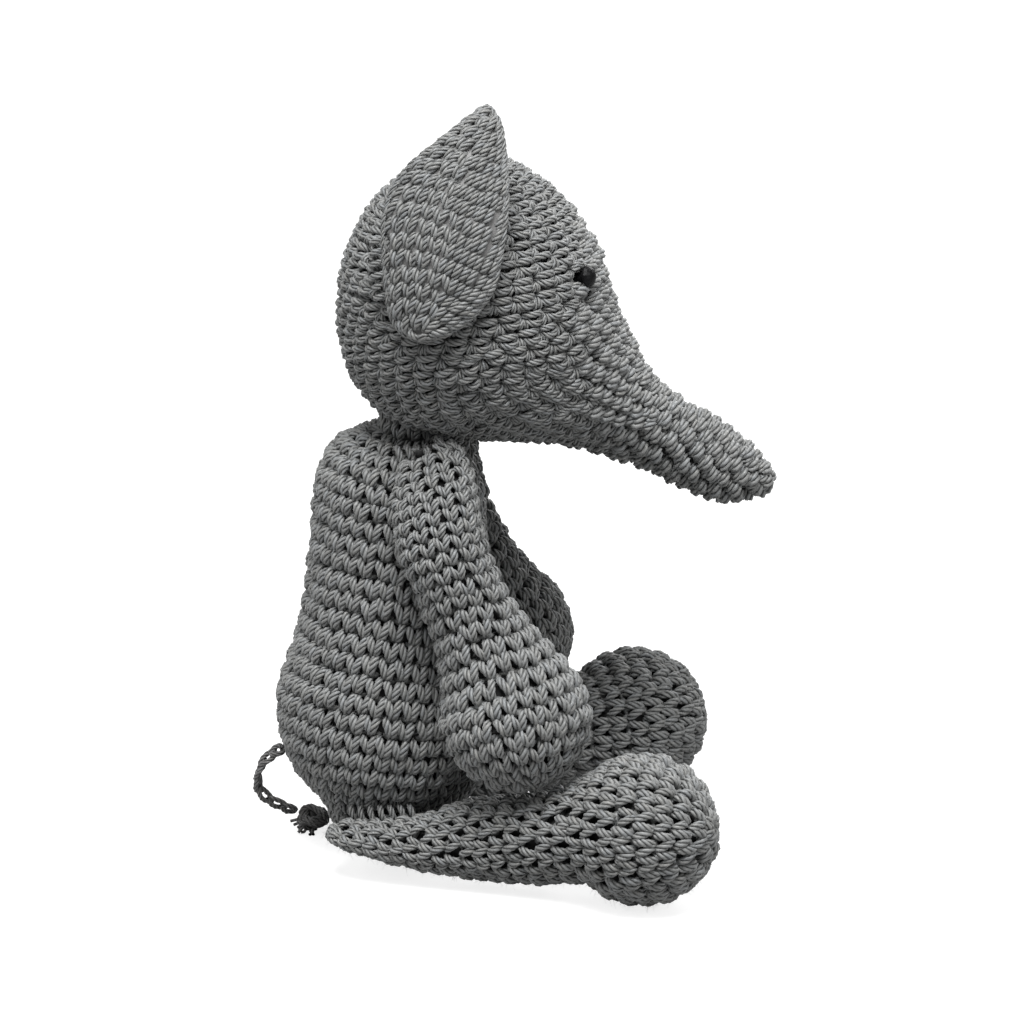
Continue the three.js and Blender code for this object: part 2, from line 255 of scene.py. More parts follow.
def make_plied_yarn():
    """The group: colour with painted shade in the grooves between plies, roughness and height of one ply of
    cotton on its own map.
    """
    group = bpy.data.node_groups.new("plied_yarn", "ShaderNodeTree")
    for name, way, kind, value in (
            ("Strand Map", "INPUT", "Vector", None), ("Colour", "INPUT", "Color", (0.2, 0.2, 0.2, 1)),
            ("Groove Shade", "INPUT", "Float", GROOVE_SHADE), ("Tone Spread", "INPUT", "Float", TONE_SPREAD),
            ("Base Color", "OUTPUT", "Color", None), ("Roughness", "OUTPUT", "Float", None),
            ("Height", "OUTPUT", "Float", None)):
        made = group.interface.new_socket(name=name, in_out=way, socket_type="NodeSocket" + kind)
        if value is not None:
            made.default_value = value
    into = node(group, "NodeGroupInput")
    out = node(group, "NodeGroupOutput")
    split = node(group, "ShaderNodeSeparateXYZ")
    group.links.new(into.outputs["Strand Map"], split.inputs[0])
    # Painted shade: ply is 1 where a ply faces out of the yarn and falls to 0 towards the grooves between
    # plies.
    facing = maths(group, "COSINE", maths(group, "MULTIPLY", split.outputs["X"], 2 * math.pi))
    ply = maths(group, "MULTIPLY", maths(group, "ADD", facing, 0.2), 0.95, clamp=True)

    def noise(stretch_by, detail):
        """Noise on the ply's map, stretched by two factors."""
        stretched = node(group, "ShaderNodeVectorMath", operation="MULTIPLY")
        group.links.new(into.outputs["Strand Map"], stretched.inputs[0])
        stretched.inputs[1].default_value = (*stretch_by, 1)
        made = node(group, "ShaderNodeTexNoise", noise_dimensions="2D")
        group.links.new(stretched.outputs[0], made.inputs["Vector"])
        made.inputs["Scale"].default_value = 1.0
        made.inputs["Detail"].default_value = detail
        return made.outputs["Fac"]

    def around_one(value, share):
        """A noise turned into a factor around one."""
        return scaled(group, maths(group, "SUBTRACT", value, 0.5), share)

    fibres = noise((14.0, 1.4), 3.0)
    slow = noise((0.0, 0.16), 1.0)
    # Painted shade: the colour darkens where the ply faces into the grooves between plies.
    shade = scaled(group, maths(group, "SUBTRACT", ply, 1.0), into.outputs["Groove Shade"])
    tone = maths(group, "MULTIPLY", around_one(slow, into.outputs["Tone Spread"]), around_one(fibres, 0.9))
    warm = maths(group, "SUBTRACT", noise((0.0, 0.11), 1.0), 0.5)
    tint = node(group, "ShaderNodeCombineXYZ")
    for socket, share in zip(tint.inputs, (0.10, 0.0, -0.16)):
        group.links.new(scaled(group, warm, share), socket)
    tinted = node(group, "ShaderNodeVectorMath", operation="MULTIPLY")
    group.links.new(into.outputs["Colour"], tinted.inputs[0])
    group.links.new(tint.outputs[0], tinted.inputs[1])
    toned = node(group, "ShaderNodeVectorMath", operation="SCALE")
    group.links.new(tinted.outputs[0], toned.inputs[0])
    group.links.new(maths(group, "MULTIPLY", tone, shade), toned.inputs["Scale"])
    group.links.new(toned.outputs[0], out.inputs["Base Color"])
    group.links.new(scaled(group, fibres, 0.3, 0.36), out.inputs["Roughness"])
    group.links.new(fibres, out.inputs["Height"])
    return group


plied_yarn = make_plied_yarn()
print("group:", plied_yarn.name, "with", len(plied_yarn.nodes), "nodes")

# %% Cotton
def cotton_material(name, colour, groove=0.8):
    """Plied cotton of one colour; what changes over the strand comes from the group, with painted shade in
    the grooves between plies as strong as groove.
    """
    material, tree, shader = new_material(name)
    place = node(tree, "ShaderNodeUVMap", uv_map="strand")
    yarn = node(tree, "ShaderNodeGroup")
    yarn.node_tree = plied_yarn
    yarn.inputs["Colour"].default_value = (*colour, 1)
    yarn.inputs["Groove Shade"].default_value = groove
    yarn.inputs["Tone Spread"].default_value = TONE_SPREAD
    relief = node(tree, "ShaderNodeBump")
    relief.inputs["Strength"].default_value = RELIEF
    relief.inputs["Distance"].default_value = 0.12 * MM
    tree.links.new(place.outputs["UV"], yarn.inputs["Strand Map"])
    tree.links.new(yarn.outputs["Base Color"], shader.inputs["Base Color"])
    tree.links.new(yarn.outputs["Roughness"], shader.inputs["Roughness"])
    tree.links.new(yarn.outputs["Height"], relief.inputs["Height"])
    tree.links.new(relief.outputs["Normal"], shader.inputs["Normal"])
    shader.inputs["Specular IOR Level"].default_value = 0.5
    shader.inputs["Sheen Weight"].default_value = 0.2
    shader.inputs["Sheen Roughness"].default_value = 0.4
    return material


GREY = (0.180, 0.184, 0.182)
cotton = cotton_material("grey_cotton", GREY)
# The ears' yarn is the same grey painted a tenth darker as shade, with deeper painted shade in the grooves
# between plies.
ear_shaded_cotton = cotton_material("shaded_ear_yarn", tuple(0.9 * c for c in GREY), 0.9)
# Painted shade: the same grey yarn painted darker, for the tail, its knot and the sheets inside the ears.
painted_shade_cotton = cotton_material("grey_cotton_painted_shade", (0.13, 0.128, 0.127))
# Painted shade: a near-black sheet under the stitches, seen through the gaps between them, with almost no
# shine.
shade_sheet_cotton = cotton_material("near_black_painted_shade", (0.03, 0.03, 0.03), groove=0.0)
for socket in ("Specular IOR Level", "Sheen Weight"):
    shade_sheet_cotton.node_tree.nodes["Principled BSDF"].inputs[socket].default_value = 0.02
print("cotton colours:", GREY)

# %% [markdown]
# ## Plastic and filling
# The eyes are moulded plastic, and so are the washers that hold them inside the head. The filling
# is curled polyester fibre. Nobody sees the washers or the filling, but they are real pieces.

# %% Plastic and filling
def hard_finish(name, colour, roughness, speck, specular=0.5):
    """Moulded plastic: a plain colour with fine unevenness in its roughness."""
    material, tree, shader = new_material(name)
    shader.inputs["Base Color"].default_value = (*colour, 1)
    shader.inputs["Specular IOR Level"].default_value = specular
    place = node(tree, "ShaderNodeTexCoord")
    grain = node(tree, "ShaderNodeTexNoise")
    grain.inputs["Scale"].default_value = 900
    tree.links.new(place.outputs["Object"], grain.inputs["Vector"])
    tree.links.new(scaled(tree, grain.outputs["Fac"], speck, roughness), shader.inputs["Roughness"])
    return material


def filling_material():
    """Polyester fibre: white, with soft curls of light and shade."""
    material, tree, shader = new_material("fibre_filling")
    place = node(tree, "ShaderNodeTexCoord")
    curls = node(tree, "ShaderNodeTexNoise")
    curls.inputs["Scale"].default_value = 420
    curls.inputs["Detail"].default_value = 6
    curls.inputs["Distortion"].default_value = 1.5
    ramp = node(tree, "ShaderNodeValToRGB")
    ramp.color_ramp.elements[0].color = (0.62, 0.61, 0.58, 1)
    ramp.color_ramp.elements[1].color = (0.9, 0.89, 0.87, 1)
    relief = node(tree, "ShaderNodeBump")
    relief.inputs["Distance"].default_value = 0.6 * MM
    tree.links.new(place.outputs["Object"], curls.inputs["Vector"])
    tree.links.new(curls.outputs["Fac"], ramp.inputs["Fac"])
    tree.links.new(ramp.outputs["Color"], shader.inputs["Base Color"])
    tree.links.new(curls.outputs["Fac"], relief.inputs["Height"])
    tree.links.new(relief.outputs["Normal"], shader.inputs["Normal"])
    shader.inputs["Roughness"].default_value = 0.95
    return material


filling = filling_material()
print("materials:", len(bpy.data.materials))

# %% [markdown]
# ## Strands
# Every visible thread is one strand: a line of points with a thickness, swept into a round tube.
# A curve object for each would be slow, so all strands of a piece are swept at once with arrays.
# Each strand gets a map that tells the place round the yarn and the length along it, and
# its own small cell in a second map, OFBake, where its colours can be baked.

# %% Sweep strands
FLOOR_GAP = 0.1                       # mm: no strand goes lower, so none sinks into the floor
CELL_RIM, CELL_ROOM = 0.06, 0.88      # a strand's share of its own cell in the baking map


def frame_along(lines, ups):
    """The directions across and above many lines, and the length along each, (n, k)."""
    ahead = unit(np.gradient(lines, axis=1))
    across = unit(np.cross(ups, ahead))
    step = np.linalg.norm(np.diff(lines, axis=1), axis=2)
    length = np.concatenate([np.zeros((len(lines), 1)), np.cumsum(step, axis=1)], axis=1)
    return across, np.cross(ahead, across), length


def spin(lines, ups, thickness, sides=8, facing=0.0):
    """Sweeps yarn along many lines at once: lines and ups (n, k, 3), thickness (n, k).

    Facing is the angle round each ring that looks out of the yarn.
    """
    across, rise, length = frame_along(lines, ups)
    a = np.linspace(0, 2 * math.pi, sides, endpoint=False)
    ring = (np.cos(a)[None, None, :, None] * across[:, :, None]
            + np.sin(a)[None, None, :, None] * rise[:, :, None])
    points = lines[:, :, None] + thickness[:, :, None, None] * ring
    return points, length, facing + np.zeros_like(length)


PLIES = 4
PLY = math.sin(math.pi / PLIES) / (1 + math.sin(math.pi / PLIES))     # a ply's radius in a yarn of 1
PITCH = 8.0                           # mm of yarn to one turn of its plies
PLUMP = 1.08                          # plies press into each other a little


def twist_plies(lines, ups, thickness):
    """Sweeps each line as four plies twisted round each other."""
    across, rise, length = frame_along(lines, ups)
    start = dice.uniform(0, 2 * math.pi, (len(lines), 1))
    batches = []
    for p in range(PLIES):
        a = start + 2 * math.pi * (p / PLIES + length / PITCH)
        shift = (np.cos(a)[..., None] * across + np.sin(a)[..., None] * rise) * (1 - PLY)
        batches.append(spin(lines + shift * thickness[..., None], ups, thickness * PLY * PLUMP, 5, a))
    return batches


def strand_object(name, batches, material):
    """One mesh from batches of swept strands, with both maps."""
    vertices, faces, strand_uv, cell_uv = [], [], [], []
    cells = math.ceil(math.sqrt(sum(len(batch[0]) for batch in batches)))
    base = done = 0
    for points, length, facing in batches:
        n, k, s, _ = points.shape
        vertices.append(points.reshape(-1, 3))
        i = np.arange(n)[:, None, None]
        j = np.arange(k - 1)[None, :, None]
        m = np.arange(s)[None, None, :]
        at = lambda row, side: base + (i * k + row) * s + side % s
        quads = np.stack([at(j, m), at(j, m + 1), at(j + 1, m + 1), at(j + 1, m)], axis=-1)
        faces.append(quads.reshape(-1, 4))
        shift = dice.uniform(0, 60, (n, 1, 1))
        column, line = (done + i) % cells, (done + i) // cells
        full = lambda x: np.broadcast_to(x, (n, k - 1, s))
        strand, cell = [], []
        for a, b in ((0, 0), (1, 0), (1, 1), (0, 1)):
            here = slice(b, k - 1 + b)
            strand.append(np.stack([(m + a) / s - facing[:, here, None] / (2 * math.pi),
                                    full(length[:, here, None]) + shift], -1))
            wide, high = (m + a) / s, (j + b) / (k - 1)
            cell.append(np.stack([full((column + CELL_RIM + CELL_ROOM * wide) / cells),
                                  full((line + CELL_RIM + CELL_ROOM * high) / cells)], -1))
        strand_uv.append(np.stack(strand, axis=-2).reshape(-1, 2))
        cell_uv.append(np.stack(cell, axis=-2).reshape(-1, 2))
        base += n * k * s
        done += n
    vertices = np.concatenate(vertices)
    vertices[:, 2] = np.maximum(vertices[:, 2], FLOOR_GAP)
    made = mesh_object(name, vertices * MM, np.concatenate(faces))
    for layer, values in (("OFBake", cell_uv), ("strand", strand_uv)):
        uv_map = made.data.uv_layers.new(name=layer)
        uv_map.uv.foreach_set("vector", np.concatenate(values).astype(np.float32).ravel())
    made.data.materials.append(material)
    strand_faces[name] = 2 * sum(len(f) for f in faces)
    return made


strand_faces = {}
print("a strand is four plies of five sides each")

# %% [markdown]
# ## The fabric's surface
# Crochet lies on the skin of the stuffed form, and that form is in the frame. Rays from a
# centre line to the cover find it: they give a grid of points, so many round and so many
# along. Blurring the grid takes out the flat facets of the measured shape.

# %% Skin of a cover
AROUND, ALONG = 96, 140


def smooth_round(grid, passes):
    """Blurs a grid of points round each ring and along the rings."""
    for _ in range(passes):
        grid = (np.roll(grid, 1, 1) + 2 * grid + np.roll(grid, -1, 1)) / 4
        inner = (grid[:-2] + 2 * grid[1:-1] + grid[2:]) / 4
        grid = np.concatenate([grid[:1], inner, grid[-1:]])
    return grid


def fill_gaps(grid):
    """Fills points that no ray found from those beside them along the rings."""
    rows = np.arange(len(grid))
    for u in range(grid.shape[1]):
        found = ~np.isnan(grid[:, u, 0])
        if found.sum() < 2:
            continue
        for c in range(3):
            grid[:, u, c] = np.interp(rows, rows[found], grid[found, u, c])
    return grid


def skin(cover, keys, start, passes=3):
    """A cover's outside: keys are (centre, travel, sweep in degrees) and start is where u is 0."""
    mesh = frame["nodes"][cover].data
    co = np.array([v.co for v in mesh.vertices]) / MM
    tree = BVHTree.FromPolygons([Vector(p) for p in co], [p.vertices[:] for p in mesh.polygons])
    stops = np.linspace(0, len(keys) - 1, ALONG)
    flat = np.array([[*c, *t, p] for c, t, p in keys], float)
    dense = np.stack([np.interp(stops, np.arange(len(keys)), flat[:, i]) for i in range(7)], axis=1)
    for _ in range(12):
        dense[1:-1] = (dense[:-2] + 2 * dense[1:-1] + dense[2:]) / 4
    grid = np.full((ALONG, AROUND, 3), np.nan)
    for i, row in enumerate(dense):
        centre, travel, sweep = row[:3], unit(row[3:6]), math.radians(row[6])
        first = unit(np.array(start) - travel * np.dot(start, travel))
        second = np.cross(travel, first)
        for j in range(AROUND):
            u = 2 * math.pi * j / AROUND
            way = (math.cos(sweep) * travel
                   + math.sin(sweep) * (math.cos(u) * first + math.sin(u) * second))
            at = Vector(centre)
            for _ in range(6):
                hit, normal, _, _ = tree.ray_cast(at, Vector(way))
                if hit is None:
                    break
                if normal.dot(Vector(way)) > 0.05:
                    grid[i, j] = hit
                    break
                at = hit + Vector(way) * 0.01
    return smooth_round(fill_gaps(grid), passes)


def make_normals(grid):
    """The outward direction at each point of a skin."""
    along = np.gradient(grid, axis=0)
    round_ = (np.roll(grid, -1, 1) - np.roll(grid, 1, 1)) / 2
    normal = unit(np.cross(round_, along))
    middle = grid.mean(axis=(0, 1))
    if np.sum(normal * (grid - middle)) < 0:
        normal = -normal
    for end in (0, -1):
        inner = 1 if end == 0 else -2
        normal[end] = unit(normal[inner].mean(axis=0))
    return normal


class Skin:
    """A skin that can be read at any place: u round it from 0 to 1, t along it in grid rows."""

    def __init__(self, grid):
        self.grid = grid
        self.normal = make_normals(grid)
        step = np.linalg.norm(np.diff(grid, axis=0), axis=2)
        self.length = np.concatenate([np.zeros((1, grid.shape[1])), np.cumsum(step, axis=0)])

    def read(self, array, u, t):
        """Reads a grid between its points."""
        rows, columns = array.shape[:2]
        t = np.clip(t, 0, rows - 1.001)
        x = (u % 1.0) * columns
        i, j = np.floor(t).astype(int), np.floor(x).astype(int) % columns
        a, b = t - i, x - np.floor(x)
        j2 = (j + 1) % columns
        if array.ndim == 3:
            a, b = a[..., None], b[..., None]
        low = array[i, j] * (1 - b) + array[i, j2] * b
        high = array[i + 1, j] * (1 - b) + array[i + 1, j2] * b
        return low * (1 - a) + high * a

    def place(self, u, t, out):
        """Points at a height of out mm over the skin, and the outward directions there."""
        normal = unit(self.read(self.normal, u, t))
        return self.read(self.grid, u, t) + normal * out[..., None], normal


print("skins have", AROUND, "points round and", ALONG, "along")

# %% [markdown]
# ## Rows
# Crochet goes round and round. A row is the band between two lines on the skin, about 5 mm
# high. Where a form bends, as the head does into the trunk, short rows fill the outside of
# the bend, so each row may fade out over a part of its way round.

# %% Lay the rows
def lay_rows(skin_, zones):
    """Row borders as places along the skin at each point round it, and where each row is open.

    A zone is (first, last, height, fade): height is one number or several along it. With fade,
    short rows fill the longer side of a bend.
    """
    columns = skin_.grid.shape[1]
    u = np.arange(columns) / columns
    borders = [np.zeros(columns)]
    opened = []
    for first, last, height, fade in zones:
        low, high = skin_.length[first], skin_.length[last]
        if fade is None:
            span = float(np.mean(high - low))
            heights = evenly(height, 200)
            spent = np.append(0, np.cumsum(span / 199 / ((heights[1:] + heights[:-1]) / 2)))
            rows = max(1, round(spent[-1]))
            share = np.interp(np.arange(1, rows + 1) / rows * spent[-1], spent, np.linspace(0, 1, 200))
            share = np.repeat(share[:, None], columns, axis=1)
            weight = np.ones((rows, columns))
        else:
            span = high - low
            rows = round(span.max() / height)
            order = (np.arange(rows) * 0.618 + 0.3) % 1.0
            weight = np.clip((span / span.max() - order[:, None]) * 9 + 0.5, 0, 1)
            weight[0] = weight[-1] = 1
            share = np.cumsum(weight, axis=0) / weight.sum(axis=0)
        for k in range(rows):
            at = low + (high - low) * share[k]
            borders.append(np.array([np.interp(at[c], skin_.length[:, c], np.arange(len(skin_.length)))
                                     for c in range(columns)]))
            opened.append(weight[k] > 0.2)
    return np.array(borders), np.array(opened)


def stitch_places(skin_, borders, opened, width, drift=0.12, least=6):
    """For each stitch: its row, and its left and right ends round the skin.

    Width is one number or several along the piece, and drift is how far each round leans on.
    """
    widths = evenly(width, len(borders))
    out, offset, previous = [], 0.0, 0
    columns = borders.shape[1]
    for k in range(len(borders) - 1):
        middle = (borders[k] + borders[k + 1]) / 2
        u = np.arange(columns + 1) / columns
        points, _ = skin_.place(u, np.append(middle, middle[0]), np.zeros(columns + 1))
        way = np.append(0, np.cumsum(np.linalg.norm(np.diff(points, axis=0), axis=1)))
        count = max(least, round(way[-1] / widths[k]))
        if abs(count - previous) <= 1 and previous > least:
            count = previous
        previous = count
        offset += drift
        ends = (np.arange(count + 1) + offset) / count
        place = np.interp(ends % 1.0, way / way[-1], u) + np.floor(ends)
        for j in range(count):
            centre = ((place[j] + place[j + 1]) / 2) % 1.0
            if opened[k][int(centre * columns) % columns]:
                out.append((k, place[j], place[j + 1]))
    return np.array(out)


# %% [markdown]
# ## Stitches
# On the right side of single crochet each stitch is a V: two plump legs that come out of one
# hole and lean apart, with the loop of the row before lying behind them. On the wrong side,
# which is the outside of this head, a bar lies across each stitch like a smile, over two short legs.
# A strand here is a list of places: across the stitch, up the row, and out of the skin in mm.

# %% Stitch patterns
BACK_LOOP = dict(r=1.2, plain=True, line=[(0.0, 0.04, -3.1), (0.25, 0.0, -2.5), (0.5, -0.02, -2.3),
                                          (0.75, 0.0, -2.5), (1.0, 0.04, -3.1)])
V_STITCH = [
    dict(r=1.30, line=[(0.48, -0.03, -3.0), (0.46, 0.05, -1.6), (0.405, 0.20, -0.35), (0.325, 0.41, 0.12),
                       (0.24, 0.63, 0.08), (0.17, 0.82, -0.4), (0.13, 0.94, -1.4), (0.12, 1.02, -2.9)]),
    dict(r=1.26, line=[(0.53, -0.03, -3.0), (0.56, 0.06, -1.5), (0.615, 0.22, -0.25), (0.695, 0.43, 0.2),
                       (0.78, 0.65, 0.12), (0.85, 0.83, -0.35), (0.89, 0.95, -1.3), (0.90, 1.03, -2.8)]),
    BACK_LOOP,
]
BAR_STITCH = [
    dict(r=1.08, line=[(0.03, 0.14, -2.9), (0.10, 0.07, -1.3), (0.24, 0.01, -0.1), (0.42, 0.03, 0.4),
                       (0.60, 0.03, 0.38), (0.78, 0.01, -0.15), (0.92, 0.07, -1.4), (0.98, 0.14, -2.9)]),
    dict(r=1.08, line=[(0.10, 0.28, -2.8), (0.17, 0.36, -1.2), (0.30, 0.50, -0.05), (0.45, 0.58, 0.4),
                       (0.60, 0.58, 0.35), (0.74, 0.49, -0.1), (0.86, 0.35, -1.3), (0.92, 0.28, -2.8)]),
    dict(r=0.88, line=[(-0.02, 0.16, -2.8), (-0.05, 0.32, -1.3), (-0.08, 0.50, -0.5), (-0.11, 0.68, -0.4),
                       (-0.13, 0.84, -1.1), (-0.13, 0.96, -2.6)]),
    dict(r=0.88, line=[(0.03, 0.16, -2.8), (0.06, 0.32, -1.3), (0.10, 0.50, -0.45), (0.13, 0.68, -0.35),
                       (0.15, 0.84, -1.0), (0.15, 0.96, -2.6)]),
    dict(r=0.9, line=[(0.28, 0.80, -2.4), (0.40, 0.82, -1.5), (0.52, 0.83, -1.3), (0.64, 0.82, -1.5),
                      (0.76, 0.80, -2.4)]),
    BACK_LOOP,
]
PETAL_STITCH = [
    dict(r=1.62, line=[(0.02, 0.24, -2.9), (0.10, 0.30, -1.3), (0.27, 0.42, 0.0), (0.48, 0.54, 0.4),
                       (0.68, 0.63, 0.1), (0.86, 0.72, -1.2), (0.95, 0.76, -2.9)]),
    dict(r=1.15, line=[(0.14, 0.02, -2.7), (0.24, 0.00, -1.3), (0.40, 0.04, -0.4), (0.58, 0.12, -0.25),
                       (0.76, 0.22, -0.6), (0.90, 0.32, -1.7), (0.95, 0.38, -2.8)]),
    BACK_LOOP,
]
SLANT_STITCH = [
    dict(r=1.28, line=[(0.06, -0.02, -2.0), (0.09, 0.08, -1.0), (0.15, 0.24, -0.2), (0.24, 0.48, 0.1),
                       (0.33, 0.72, 0.0), (0.41, 0.88, -0.6), (0.46, 1.00, -1.8)]),
    dict(r=1.28, line=[(0.55, -0.02, -2.0), (0.58, 0.08, -1.0), (0.65, 0.24, -0.2), (0.74, 0.48, 0.1),
                       (0.83, 0.72, 0.0), (0.91, 0.88, -0.6), (0.96, 1.00, -1.8)]),
]


def spline(line, count):
    """A smooth line through a strand's places, as count points."""
    line = np.array(line, float)
    at = np.linspace(0, len(line) - 1, count)
    padded = np.vstack([2 * line[0] - line[1], line, 2 * line[-1] - line[-2]])
    i = np.minimum(at.astype(int), len(line) - 2)
    f = (at - i)[:, None]
    p0, p1, p2, p3 = (padded[i + n] for n in range(4))
    return 0.5 * (2 * p1 + (p2 - p0) * f + (2 * p0 - 5 * p1 + 4 * p2 - p3) * f ** 2
                  + (3 * p1 - p0 - 3 * p2 + p3) * f ** 3)


def between_rows(borders, k, u):
    """The lower and upper border of row k at places round the skin."""
    columns = borders.shape[1]
    x = (u % 1.0) * columns
    j = np.floor(x).astype(int) % columns
    f = x - np.floor(x)
    j2 = (j + 1) % columns
    low = borders[k, j] * (1 - f) + borders[k, j2] * f
    top = borders[k + 1, j] * (1 - f) + borders[k + 1, j2] * f
    return low, top


JITTER = 0.07                         # how far a stitch strays, in parts of its width and height
STEPS = 9                             # points along a strand


def crochet(skin_, borders, places, pattern, out=-0.8, upside_down=False, nominal=5.5, clear=(), dive=1.0):
    """Sweeps the strands of a pattern at every stitch, as plied yarn.

    Where a row is lower than nominal, its yarn is thinner. Dive scales how deep its ends go.
    """
    k = places[:, 0].astype(int)[:, None]
    left, right = places[:, 1], places[:, 2]
    n = len(places)
    size = dice.normal(1.0, 0.04, n)
    rise = dice.normal(0.0, 0.2, n)
    lean = dice.normal(0.0, JITTER, n)
    up = dice.normal(0.0, JITTER, n)
    middle = (left + right) / 2
    ends = [skin_.place(middle, edge[:, 0], np.zeros(n))[0]
            for edge in between_rows(borders, k, middle[:, None])]
    size *= np.clip(np.linalg.norm(ends[1] - ends[0], axis=1) / nominal, 0.6, 1.2) ** 0.5
    batches = []
    for strand in pattern:
        line = spline(strand["line"], STEPS if len(strand["line"]) > 6 else STEPS - 2)
        wobble = dice.normal(0, 0.018, (n, 3))
        tilt = dice.normal(0, 0.05, n)
        across = (line[None, :, 0] + (lean + wobble[:, 0])[:, None]
                  + tilt[:, None] * (line[None, :, 1] - 0.5))
        high = line[None, :, 1] + (up + wobble[:, 1])[:, None]
        deep = line[None, :, 2] * dive + (rise + 4 * wobble[:, 2])[:, None] + out
        if upside_down:
            high = 1 - high
        u = left[:, None] + (right - left)[:, None] * across
        low, top = between_rows(borders, k, u)
        points, normal = skin_.place(u, low + (top - low) * high, deep)
        for centre, axis, hole in clear:
            away = points - centre
            deep_in = away @ axis
            flat = away - deep_in[..., None] * axis
            far = np.linalg.norm(flat, axis=-1)
            push = np.where(np.abs(deep_in) < 9, (far ** 4 + hole ** 4) ** 0.25 - far, 0)
            points = points + unit(flat) * push[..., None]
        ends = np.minimum(np.linspace(0, 1, line.shape[0]), np.linspace(1, 0, line.shape[0]))
        thickness = strand["r"] * size[:, None] * (0.6 + 0.4 * np.minimum(1, ends * 3.6))
        if "plain" in strand:
            batches.append(spin(points, normal, thickness, 5, math.pi / 2))
        else:
            batches += twist_plies(points, normal, thickness)
    return batches


def fuzz(skin_, borders, places, start=-0.1):
    """Short loose fibres that stand up from the yarn, four at each stitch."""
    some = np.repeat(places, 4, axis=0)
    n = len(some)
    k = some[:, 0].astype(int)[:, None]
    u = (some[:, 1] + (some[:, 2] - some[:, 1]) * dice.uniform(0.1, 0.9, n))[:, None]
    low, top = between_rows(borders, k, u)
    base, normal = skin_.place(u, low + (top - low) * dice.uniform(0.25, 0.75, (n, 1)),
                               np.full((n, 1), start))
    lean = dice.normal(0, 0.8, (n, 1, 3))
    curl = dice.normal(0, 0.5, (n, 1, 3))
    s = np.linspace(0, 1, 5)[None, :, None]
    tall = dice.uniform(0.9, 2.3, (n, 1, 1))
    lines = base + (unit(normal + lean) * s + curl * s ** 2 * 0.5) * tall
    size = np.full((n, 5), 0.04) * (1 - 0.6 * s[..., 0])
    return [spin(lines, np.broadcast_to(unit(curl + [0.1, 0.2, 0.3]), lines.shape), size, 3)]


def lining(name, skin_, depth, capped=True):
    """A form a little under the strands, used for the sheets of painted shade and for the filling; where the
    piece is thin it keeps closer to the skin.
    """
    middle = skin_.grid.mean(axis=1, keepdims=True)
    room = np.linalg.norm(skin_.grid - middle, axis=2).min(axis=1)
    wide = np.array([room[max(0, i - 12):i + 13].max() for i in range(len(room))])[:, None, None]
    grid = skin_.grid - skin_.normal * np.minimum(depth, (0.46 if capped else 0.6) * wide)
    if not capped:
        grid = grid[room > 3]
    rows, columns = grid.shape[:2]
    i, j = np.meshgrid(np.arange(rows - 1), np.arange(columns), indexing="ij")
    j2 = (j + 1) % columns
    faces = np.stack([i * columns + j, i * columns + j2, (i + 1) * columns + j2, (i + 1) * columns + j], -1)
    return mesh_object(name, grid.reshape(-1, 3) * MM, faces.reshape(-1, 4))


print("stitch patterns:", len(V_STITCH), "and", len(BAR_STITCH), "strands")

# %% [markdown]
# ## Tail
# The tail is a short chain of yarn that hangs from the back of the seat and ends in a knot with
# a tuft. It is the only free cord. A chain is loops pulled through loops, so its strand
# weaves from side to side, and a plain tube would look like wire.

# %% Tail cord
TAIL_ROUTE = [(0, 73.4, 30.2), (0.3, 76.2, 28.6), (1, 79.4, 25), (2.4, 81, 20), (4.4, 80.2, 15.2),
              (6.6, 77, 11.4), (8.4, 73, 8.8), (9.4, 70.2, 7)]
tail_path = spline(TAIL_ROUTE, 33)


def chain(line, up, size, spread, link=4.6):
    """A chain of stitches along a line: each link is two strands that open and close."""
    count = max(3, round(path_length(line) / link))
    ahead = unit(np.gradient(line, axis=0))
    up = unit(up - ahead * np.sum(up * ahead, axis=1, keepdims=True))
    across = np.cross(ahead, up)
    lines, ups = [], []
    s = np.linspace(-0.34, 1.14, 11)
    for i in range(count):
        at = np.clip((i + s) / count, 0, 1) * (len(line) - 1)
        pick = lambda a: np.stack([np.interp(at, np.arange(len(line)), a[:, c]) for c in range(3)], -1)
        opened = np.sin(math.pi * np.clip((s + 0.34) / 1.48, 0, 1)) ** 0.7 * spread
        turn = dice.normal(0, 0.25)
        for way in (-1, 1):
            lift = 0.45 * size * np.cos(math.pi * s) + way * math.sin(turn) * opened
            lines.append(pick(line) + pick(across) * (way * math.cos(turn) * opened)[:, None]
                         + pick(up) * lift[:, None])
            ups.append(pick(up))
    return twist_plies(np.array(lines), np.array(ups), np.full((len(lines), len(s)), size))


tail_up = np.tile([0.9, 0.15, 0.4], (33, 1))
twist = np.linspace(0.8, 3.4, 33)[:, None]
tail_up = tail_up * np.cos(twist) + np.cross(unit(np.gradient(tail_path, axis=0)), tail_up) * np.sin(twist)
# The tail's yarn is painted darker, as shade.
tail = strand_object("tail_chain", chain(tail_path, tail_up, 0.82, 1.2), painted_shade_cotton)

